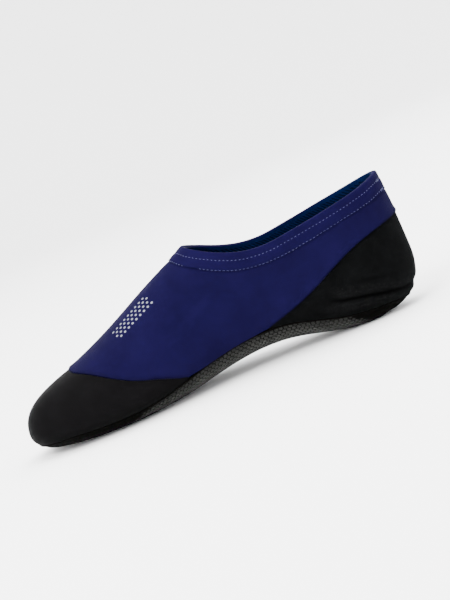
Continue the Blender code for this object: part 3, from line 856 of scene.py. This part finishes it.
# Soft folds in side view, in millimetres: side, first and last place, rise, half width, and rows of
# (along, height). A rise under zero is a trough. Side is -1 for the inner side, 1 for the outer and
# 0 for both.
HEEL_FOLDS = {
    "fold over the sole's edge": (
        0, 66, 135, -0.8, 2.2, ((66, 26), (78, 21.5), (92, 18.5), (106, 15.0), (118, 12.6), (132, 12.0))
    ),
    "roll under the fold": (
        0, 60, 135, 0.7, 2.5, ((60, 22.5), (78, 17.0), (92, 14.2), (106, 11.6), (118, 9.8), (132, 9.2))
    ),
    "roll over the fold": (
        0, 70, 135, 0.35, 2.6, ((66, 31), (78, 26.5), (92, 23.5), (106, 20.0), (118, 17.5), (132, 17.0))
    ),
    "second fold": (-1, 84, 118, -0.25, 2.4, ((84, 30.0), (100, 27.5), (118, 23.0))),
}
UPPER_FOLDS = {
    "hollow of the ankle": (-1, 20, 84, -0.6, 9.0, ((20, 44), (50, 50), (84, 58))),
    "inner crease from the instep": (-1, -46, 10, -0.35, 3.0, ((-46, 40), (-20, 47), (10, 62))),
    "ridge by the crease": (-1, -40, 8, 0.3, 3.4, ((-40, 35), (-18, 41), (8, 55))),
    "inner crease at the ball": (-1, -70, -30, -0.25, 3.0, ((-70, 34), (-50, 30), (-30, 24))),
    "outer crease from the instep": (1, -40, 14, -0.35, 3.2, ((-40, 38), (-14, 44), (14, 56))),
    "outer crease at the ball": (1, -74, -36, -0.25, 3.0, ((-74, 32), (-54, 29), (-36, 24))),
}
TOE_FOLDS = {
    "crease behind the toes": (0, -88, -52, -0.3, 2.6, ((-88, 26), (-70, 24), (-52, 20))),
    "crease by the sole": (0, -80, -40, -0.25, 2.0, ((-80, 19), (-60, 17.5), (-40, 17))),
    "roll by the sole": (0, -100, -42, 0.22, 3.0, ((-100, 11), (-80, 14), (-60, 13.5), (-42, 13))),
}


def press_folds(piece, folds, depth=1.0):
    """Presses soft troughs and ridges into a piece's outer face, and keeps where they lie."""
    points, normals = points_of(piece), normals_of(piece)
    outer = ~faces_inward(points, normals)
    x, y, z = points.T
    fade, full_crease = 12, 0.6
    rise, rolls, crease_shade = (np.zeros(len(points)) for _ in range(3))
    for side, start, end, height, width, rows in folds.values():
        height *= depth
        along, line = np.array(rows).T * MM
        off = z - np.interp(x, along, line)
        here = smooth_step(x, start * MM, (start + fade) * MM)
        here *= 1 - smooth_step(x, (end - fade) * MM, end * MM)
        if side:
            here *= smooth_step(side * y, 2 * MM, 9 * MM)
        rise += height * MM * bell(off, width * MM) * here
        # A trough keeps painted shade, darker the deeper it is, for the jersey to show
        if height < 0:
            dark = min(1, -height / full_crease)
            crease_shade = np.maximum(crease_shade, bell(off, 0.55 * width * MM) * here * dark)
        else:
            rolls = np.maximum(rolls, bell(off, 1.3 * width * MM) * here)
    keep_values(piece, "Rolls", rolls)
    keep_values(piece, "Creases", crease_shade)
    move_points(piece, points + normals * (rise * outer)[:, None])


def round_the_seam(piece, neighbours, lip):
    """Lets the outer face stand a little proud along its seams, and keeps a line of painted shade on them.
    """
    trees = [surface_of(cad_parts[name]) for name in neighbours]
    points, normals = points_of(piece), normals_of(piece)
    outer = ~faces_inward(points, normals)
    gaps = np.array([min(tree.find_nearest(Vector(p))[3] for tree in trees) for p in points])
    shade, line_width, round_off, lip_width = 0.85, 0.8 * MM, 0.6 * MM, 2.2 * MM
    # The seam's painted shade, strongest where the panels meet
    keep_values(piece, "Seam", shade * bell(gaps, line_width))
    rise = lip * bell(np.maximum(gaps - round_off, 0), lip_width)
    move_points(piece, points + normals * (rise * outer)[:, None])


class WATERSHOE_OT_upper(bpy.types.Operator):
    """Blue stretch upper with its rib lining"""

    bl_idname = "water_shoe.upper"
    bl_label = "Upper"

    def execute(self, context):
        piece = skin_of("upper", 2)
        press_folds(piece, UPPER_FOLDS)
        round_the_seam(piece, ("toe_cap", "heel_cup"), context.scene.shoe_sizes.seam_lip)
        paint(piece, [finish("Blue fabric"), finish("Rib lining")], faces_inward)
        hand_in(piece, "upper")
        return {"FINISHED"}


class WATERSHOE_OT_collar_band(bpy.types.Operator):
    """Folded band round the collar, drawn in along its two rows of stitches"""

    bl_idname = "water_shoe.collar_band"
    bl_label = "Collar band"

    # Depth and half width of the dent along a row of stitches, and of the one under the inner leg
    ROW_DENT, LEG_DENT = (0.28 * MM, 0.9 * MM), (0.45 * MM, 0.8 * MM)
    # How much lower the lining lies than the inner leg
    LEG_STEP = 0.25 * MM

    def execute(self, context):
        sizes = context.scene.shoe_sizes
        piece = skin_of("collar_band", 3)
        lines = _measures["collar"] = CollarLines(piece)
        points, normals = points_of(piece), normals_of(piece)
        depth, width = self.ROW_DENT
        sink = np.zeros(len(points))
        for distance in (sizes.upper_row, sizes.lower_row):
            row = nearest_of(lines.resample(lines.below(distance), 0.4 * MM))
            sink += depth * bell(gaps_to(row, points), width)
        depth, width = self.LEG_DENT
        drop = gaps_to(lines.near, points)
        hollow = depth * bell(drop - sizes.inner_leg, width)
        hollow += self.LEG_STEP * smooth_step(drop, sizes.inner_leg, sizes.inner_leg + MM)
        inward = faces_inward(points, normals)
        move_points(piece, points - normals * np.where(inward, hollow, sink)[:, None])

        def leg(places, ways):
            inside = np.where(gaps_to(lines.near, places) < sizes.inner_leg, 1, 2)
            return np.where(faces_inward(places, ways), inside, 0)

        paint(piece, [finish("Band fabric"), finish("Band inside fabric"), finish("Rib lining")], leg)
        hand_in(piece, "collar_band")
        return {"FINISHED"}


class WATERSHOE_OT_toe_cap(bpy.types.Operator):
    """Smooth black toe cap"""

    bl_idname = "water_shoe.toe_cap"
    bl_label = "Toe cap"

    def execute(self, context):
        piece = skin_of("toe_cap", 3)
        press_folds(piece, TOE_FOLDS)
        paint(piece, [finish("Toe skin"), finish("Rib lining")], faces_inward)
        hand_in(piece, "toe_cap")
        return {"FINISHED"}


class WATERSHOE_OT_heel_cup(bpy.types.Operator):
    """Brushed black heel cup with the fold round its foot"""

    bl_idname = "water_shoe.heel_cup"
    bl_label = "Heel cup"

    def execute(self, context):
        piece = skin_of("heel_cup", 3)
        press_folds(piece, HEEL_FOLDS, context.scene.shoe_sizes.heel_crease / MM)
        paint(piece, [finish("Heel jersey"), finish("Rib lining")], faces_inward)
        hand_in(piece, "heel_cup")
        return {"FINISHED"}


class WATERSHOE_OT_sole(bpy.types.Operator):
    """Sole panel, sunk where the tread is moulded into it"""

    bl_idname = "water_shoe.sole"
    bl_label = "Sole"

    # Each bead's piece and finish, and how many times thicker it grows where three pieces meet
    BEADS = (("inner_bead", "Rib lining", 3.0), ("sole_bead", "Sole rubber", 0.8))

    def execute(self, context):
        sizes = context.scene.shoe_sizes
        piece = skin_of("sole", 2)
        measure = sole_map()
        near = nearest_of(measure.grid.reshape(-1, 3))
        points, normals = points_of(piece), normals_of(piece)
        found = [near.find(p) for p in points]
        index = np.array([f[1] for f in found])
        close = np.array([f[2] for f in found]) < 1.2 * MM
        along = measure.along[index // len(measure.across)]
        across = measure.across[index % len(measure.across)]
        share = measure.tread_share(along, across) * close
        facing = (measure.outward(along, across) * normals).sum(axis=1) > 0.3
        move_points(piece, points - normals * (share * facing * sizes.hexagon_rise)[:, None])
        paint(piece, [finish("Sole rubber"), finish("Rib lining")], faces_inward)
        self.beads(sizes)
        hand_in(piece, "sole")
        return {"FINISHED"}

    @staticmethod
    def swell(line, growth):
        """Thickens a bead where three pieces meet, to cover the corner between them."""
        trees = [surface_of(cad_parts[name]) for name in ("upper", "toe_cap", "heel_cup")]
        for point in line.points:
            gaps = sorted(tree.find_nearest(point.co.to_3d())[3] for tree in trees)
            point.radius = 1 + growth * bell(gaps[1], 3 * MM)

    def beads(self, sizes):
        """Two thin beads that close the seam round the sole's upper edge, inside and outside."""
        rim = merged_copy("sole", "rim")
        with editing(rim, "EDGE"):
            bpy.ops.mesh.edges_select_sharp(sharpness=math.radians(50))
            bpy.ops.mesh.select_all(action="INVERT")
            bpy.ops.mesh.delete(type="EDGE")
            bpy.ops.mesh.select_all(action="SELECT")
            bpy.ops.mesh.delete_loose(use_verts=True, use_edges=False, use_faces=False)
            bpy.ops.mesh.select_all(action="SELECT")
            bpy.ops.mesh.separate(type="LOOSE")
        loops = sorted(bpy.context.selected_objects, key=lambda loop: np.ptp(points_of(loop)[:, 1]))
        if len(loops) != 2:
            raise RuntimeError(f"The sole has {len(loops)} rims")
        for bead, (name, cover, growth) in zip(loops, self.BEADS):
            bead.name = name
            finish_with(bead, "SUBSURF", levels=2, render_levels=2)
            pick(bead)
            bpy.ops.object.convert(target="CURVE")
            bead.data.bevel_depth, bead.data.bevel_resolution = sizes.bead_width / 2, 1
            self.swell(bead.data.splines[0], growth)
            bpy.ops.object.convert(target="MESH")
            with editing(bead, "FACE"):
                bpy.ops.mesh.select_all(action="SELECT")
                bpy.ops.mesh.remove_doubles(threshold=0.01 * MM)
                bpy.ops.mesh.normals_make_consistent(inside=False)
            hand_in_trim(bead, cover)


class WATERSHOE_OT_tread(bpy.types.Operator):
    """Field of small raised hexagons under the foot and up the sole's sides"""

    bl_idname = "water_shoe.tread"
    bl_label = "Tread"

    # Where the field fades out: the least share that still has a hexagon, its size and its height
    FAINTEST, SMALLEST, LOWEST = 0.12, 0.62, 0.35
    # A hexagon's root reaches this far below the face, in heights, and its top is drawn in
    ROOT, TAPER = 1.15, 0.84
    # The least painted light, and how far from the sole's edge it begins and is full
    LEAST_WEAR, WEAR_START, WEAR_FULL = 0.12, 2 * MM, 13 * MM

    def execute(self, context):
        sizes = context.scene.shoe_sizes
        measure = sole_map()
        pitch = sizes.hexagon_pitch
        master = raised_master(6, (pitch - sizes.hexagon_gap) / math.sqrt(3), (0.7, 0.3), self.TAPER)
        local = points_of(master)
        spots, painted_light = [], []
        low, high = measure.along[0], measure.along[-1]
        row_pitch, margin, inset = pitch * math.sqrt(3) / 2, 1.5 * MM, 0.7 * MM
        rows = int(70 * MM / row_pitch)
        for row in range(-rows, rows + 1):
            s = row * row_pitch
            xs = np.arange(low + (row % 2) * pitch / 2, high, pitch)
            near, far = measure.ends_at(xs)
            share = measure.tread_share(xs, np.clip(np.full_like(xs, s), near + margin, far - margin))
            for x, grown, start, end in zip(xs, share, near, far):
                if grown < self.FAINTEST or s < start - 0.5 * pitch or s > end + 0.5 * pitch:
                    continue
                size = self.SMALLEST + (1 - self.SMALLEST) * grown
                across = np.clip(s + local[:, 1] * size, start + inset, end - inset)
                if np.ptp(across) < 0.3 * pitch:
                    continue
                along = x + local[:, 0] * size
                up = (local[:, 2] - 1) * self.ROOT * sizes.hexagon_rise * max(grown, self.LOWEST)
                spots.append(measure.place(along, across) + measure.outward(along, across) * up[:, None])
                # Painted light and shade: hexagons paler under the foot, darker up by the sole's edge
                lit_share = float(smooth_step(min(s - start, end - s), self.WEAR_START, self.WEAR_FULL))
                painted_light += [grown * (self.LEAST_WEAR + (1 - self.LEAST_WEAR) * lit_share)] * len(local)
        piece = lay_copies(master, spots, "tread_hexagons")
        keep_values(piece, "Worn", painted_light)
        hand_in_trim(piece, "Tread rubber", sharp=20)
        return {"FINISHED"}


class WATERSHOE_OT_insole(bpy.types.Operator):
    """Thin insole with its fabric cover"""

    bl_idname = "water_shoe.insole"
    bl_label = "Insole"

    def execute(self, context):
        piece = skin_of("insole", 2)
        paint(piece, [finish("Insole cover")])
        hand_in(piece, "insole")
        return {"FINISHED"}


class WATERSHOE_OT_collar_stitches(bpy.types.Operator):
    """Two rows of stitches round the collar band, and the tack near the back"""

    bl_idname = "water_shoe.collar_stitches"
    bl_label = "Collar stitches"

    # The tack: its place across the shoe, within how much of the back, its pitch and how many
    # stitches it has to each side of its middle, then their stretch and lean
    TACK_Y, TACK_ZONE, TACK_PITCH, TACK_SIDE = -11 * MM, 20 * MM, 0.55 * MM, 4
    STRETCH, LEAN = 1.7, 0.3

    def execute(self, context):
        sizes = context.scene.shoe_sizes
        lines = _measures["collar"]
        surface = surface_of(bpy.data.objects["collar_band_skin"])
        for name, distance in (("upper", sizes.upper_row), ("lower", sizes.lower_row)):
            line = lines.resample(lines.below(distance), sizes.thread_pitch)
            piece = sew(stitch_master(sizes), line, surface, name + "_stitch_row")
            hand_in_trim(piece, "Thread")
        hand_in_trim(self.tack(sizes, lines, surface), "Thread")
        return {"FINISHED"}

    def tack(self, sizes, lines, surface):
        """Close upright stitches that lock the end of each row, near the back."""
        master = stitch_master(sizes)
        local = points_of(master) * np.array([self.STRETCH, 1.0, 1.0])
        spots = []
        for distance in (sizes.upper_row, sizes.lower_row):
            line = lines.resample(lines.below(distance), self.TACK_PITCH)
            back = (line[:, 0] > line[:, 0].max() - self.TACK_ZONE) & (line[:, 1] < 0)
            middle = np.flatnonzero(back)[np.argmin(np.abs(line[back][:, 1] - self.TACK_Y))]
            for i in range(-self.TACK_SIDE, self.TACK_SIDE + 1):
                here, after = (line[(middle + k) % len(line)] for k in (i, i + 1))
                hit, normal, _, _ = surface.find_nearest(Vector(here))
                row = (after - here) / np.linalg.norm(after - here)
                way = np.cross(np.array(normal), row) + row * self.LEAN * (-1) ** i
                spots.append(laid(local, hit, normal, way))
        return lay_copies(master, spots, "back_tack")


class WATERSHOE_OT_sole_stitches(bpy.types.Operator):
    """Short stitches round the heel, just under the sole's upper edge"""

    bl_idname = "water_shoe.sole_stitches"
    bl_label = "Sole stitches"

    # First and last place along the shoe, pitch, and distance below the sole's edge
    START, END, PITCH, DROP = 52 * MM, 112 * MM, 2.6 * MM, 2.0 * MM

    def execute(self, context):
        sizes = context.scene.shoe_sizes
        measure = sole_map()
        surface = surface_of(bpy.data.objects["sole_skin"])
        xs = np.arange(self.START, self.END, self.PITCH)
        near, far = measure.ends_at(xs)
        for name, around in (("inner", near + self.DROP), ("outer", far - self.DROP)):
            line = measure.place(xs, around)
            piece = sew(stitch_master(sizes), line, surface, name + "_sole_stitches", closed=False)
            hand_in_trim(piece, "Sole thread")
        return {"FINISHED"}


class WATERSHOE_OT_instep_dots(bpy.types.Operator):
    """Plain field of printed dots on the instep"""

    bl_idname = "water_shoe.instep_dots"
    bl_label = "Instep dots"

    COLUMNS, ROWS = 9, 4
    # The field's middle, the way in which it is laid on, and the way in which its rows run
    CENTRE, LOOK, ALONG = (-44 * MM, -22 * MM, 58 * MM), (0.25, 0.72, -0.65), (0.87, 0.05, 0.5)
    # A dot's height, how deep it is sunk, and how far its top is drawn in
    HEIGHT, SUNK, TAPER = 0.12 * MM, 0.03 * MM, 0.86

    def execute(self, context):
        sizes = context.scene.shoe_sizes
        surface = surface_of(bpy.data.objects["upper_skin"])
        master = raised_master(12, sizes.dot_width / 2, (self.HEIGHT,), self.TAPER)
        local = points_of(master) - np.array([0, 0, self.SUNK])
        centre, look = Vector(self.CENTRE), Vector(self.LOOK).normalized()
        along = Vector(self.ALONG).normalized()
        across = look.cross(along).normalized()
        row_pitch = 0.87 * sizes.dot_pitch
        spots = []
        for row in range(self.ROWS):
            for column in range(self.COLUMNS):
                u = (column - (self.COLUMNS - 1) / 2 + 0.5 * (row % 2)) * sizes.dot_pitch
                v = (row - (self.ROWS - 1) / 2) * row_pitch
                start = centre + along * u + across * v - look * 80 * MM
                hit, normal, _, _ = surface.ray_cast(start, look)
                if hit is None:
                    raise RuntimeError("A dot missed the upper")
                spots.append(laid(local, hit, normal, np.array(along)))
        hand_in_trim(lay_copies(master, spots, "instep_dots"), "Dot print", sharp=30)
        return {"FINISHED"}


# Stage


class WATERSHOE_OT_stage(bpy.types.Operator):
    """Pale sweep, soft studio lights and the camera"""

    bl_idname = "water_shoe.stage"
    bl_label = "Stage"

    # Name, place, size, watts and tint of each soft light, all turned to the shoe
    LIGHTS = (
        ("Front light", (-0.9, -1.3, 1.5), 1.4, 96, (1, 1, 1)),
        ("Top light", (0.1, 0.1, 1.7), 1.6, 70, (1, 1, 1)),
        ("Back light", (0.9, 1.2, 1.3), 1.2, 26, (0.95, 0.97, 1)),
    )
    DISTANCE, ELEVATION, ROLL = 1.039, 7.5, 22.5
    AIM = (0.0119, 0.0007, 0.0456)
    # The sweep's floor and curve by radius, the height of its wall, and how pale it is
    FLOOR, CURVE, WALL, PAPER = 1.9, 0.9, 1.2, 0.86
    # Strength of the even white light all round
    SKY = 3.6

    def execute(self, context):
        staged = [self.sweep()]
        for name, place, size, power, tint in self.LIGHTS:
            bpy.ops.object.light_add(type="AREA", location=place)
            light = context.object
            light.name = name
            light.data.shape, light.data.size = "DISK", size
            light.data.energy, light.data.color = power, tint
            light.rotation_euler = (-Vector(place)).to_track_quat("-Z", "Y").to_euler()
            staged.append(light)
        world = bpy.data.worlds.new("Studio")
        world.use_nodes = True
        world.node_tree.nodes["Background"].inputs["Color"].default_value = (1, 1, 1, 1)
        world.node_tree.nodes["Background"].inputs["Strength"].default_value = self.SKY
        context.scene.world = world
        self.camera(context)
        return {"FINISHED"}

    def sweep(self):
        """A round floor that curves up into a wall."""
        bpy.ops.object.select_all(action="DESELECT")
        bpy.ops.mesh.primitive_circle_add(vertices=96, radius=self.FLOOR, fill_type="NGON")
        floor = bpy.context.object
        floor.name = "Sweep"
        steps = 10
        with editing(floor, "EDGE"):
            bpy.ops.mesh.select_all(action="SELECT")
            bpy.ops.mesh.region_to_loop()
            for i in range(steps):
                before, after = (math.pi / 2 * k / steps for k in (i, i + 1))
                out = self.CURVE * (math.sin(after) - math.sin(before))
                up = self.CURVE * (math.cos(before) - math.cos(after))
                reach = self.FLOOR + self.CURVE * math.sin(before)
                bpy.ops.mesh.extrude_region_move(TRANSFORM_OT_translate={"value": (0, 0, up)})
                grow = (reach + out) / reach
                bpy.ops.transform.resize(value=(grow, grow, 1), center_override=(0, 0, 0))
            bpy.ops.mesh.extrude_region_move(TRANSFORM_OT_translate={"value": (0, 0, self.WALL)})
        pick(floor)
        bpy.ops.object.shade_smooth()
        paper = wide([self.PAPER] * 3)
        material = start_material("Sweep paper", Base_Color=paper, Roughness=0.9, Specular_IOR_Level=0.1)[0]
        paint(floor, [material])
        return floor

    def camera(self, context):
        """The photograph's angle to the heel half, rolled because the shoe stands level here."""
        elevation, roll = math.radians(self.ELEVATION), math.radians(self.ROLL)
        back = Vector((0, -math.cos(elevation), math.sin(elevation)))
        bpy.ops.object.camera_add(location=Vector(self.AIM) + back * self.DISTANCE)
        camera = context.object
        upright = (-back).to_track_quat("-Z", "Y").to_matrix()
        camera.rotation_euler = (upright @ Matrix.Rotation(-roll, 3, "Z")).to_euler()
        camera.data.lens, camera.data.sensor_width = 100, 36
        camera.data.dof.use_dof = False
        context.scene.camera = camera


class WATERSHOE_PT_sidebar(bpy.types.Panel):
    """Lists the shoe's sizes, colours and pieces"""

    bl_label = "Water shoe"
    bl_idname = "WATERSHOE_PT_sidebar"
    bl_space_type = "VIEW_3D"
    bl_region_type = "UI"
    bl_category = "Water shoe"

    def draw(self, context):
        for group in (context.scene.shoe_sizes, context.scene.shoe_colours):
            box = self.layout.box()
            for name in group.__annotations__:
                box.prop(group, name)
        for operator in OPERATORS:
            self.layout.operator(operator.bl_idname)


OPERATORS = (
    WATERSHOE_OT_upper,
    WATERSHOE_OT_collar_band,
    WATERSHOE_OT_toe_cap,
    WATERSHOE_OT_heel_cup,
    WATERSHOE_OT_sole,
    WATERSHOE_OT_tread,
    WATERSHOE_OT_insole,
    WATERSHOE_OT_collar_stitches,
    WATERSHOE_OT_sole_stitches,
    WATERSHOE_OT_instep_dots,
    WATERSHOE_OT_stage,
)
CLASSES = (ShoeSizes, ShoeColours, *OPERATORS, WATERSHOE_PT_sidebar)


def register():
    for kind in CLASSES:
        bpy.utils.register_class(kind)
    bpy.types.Scene.shoe_sizes = bpy.props.PointerProperty(type=ShoeSizes)
    bpy.types.Scene.shoe_colours = bpy.props.PointerProperty(type=ShoeColours)


def unregister():
    del bpy.types.Scene.shoe_sizes, bpy.types.Scene.shoe_colours
    for kind in reversed(CLASSES):
        bpy.utils.unregister_class(kind)


def main():
    register()
    bpy.ops.object.select_all(action="DESELECT")
    for operator in OPERATORS:
        group, name = operator.bl_idname.split(".")
        getattr(getattr(bpy.ops, group), name)()


if __name__ == "__main__":
    main()
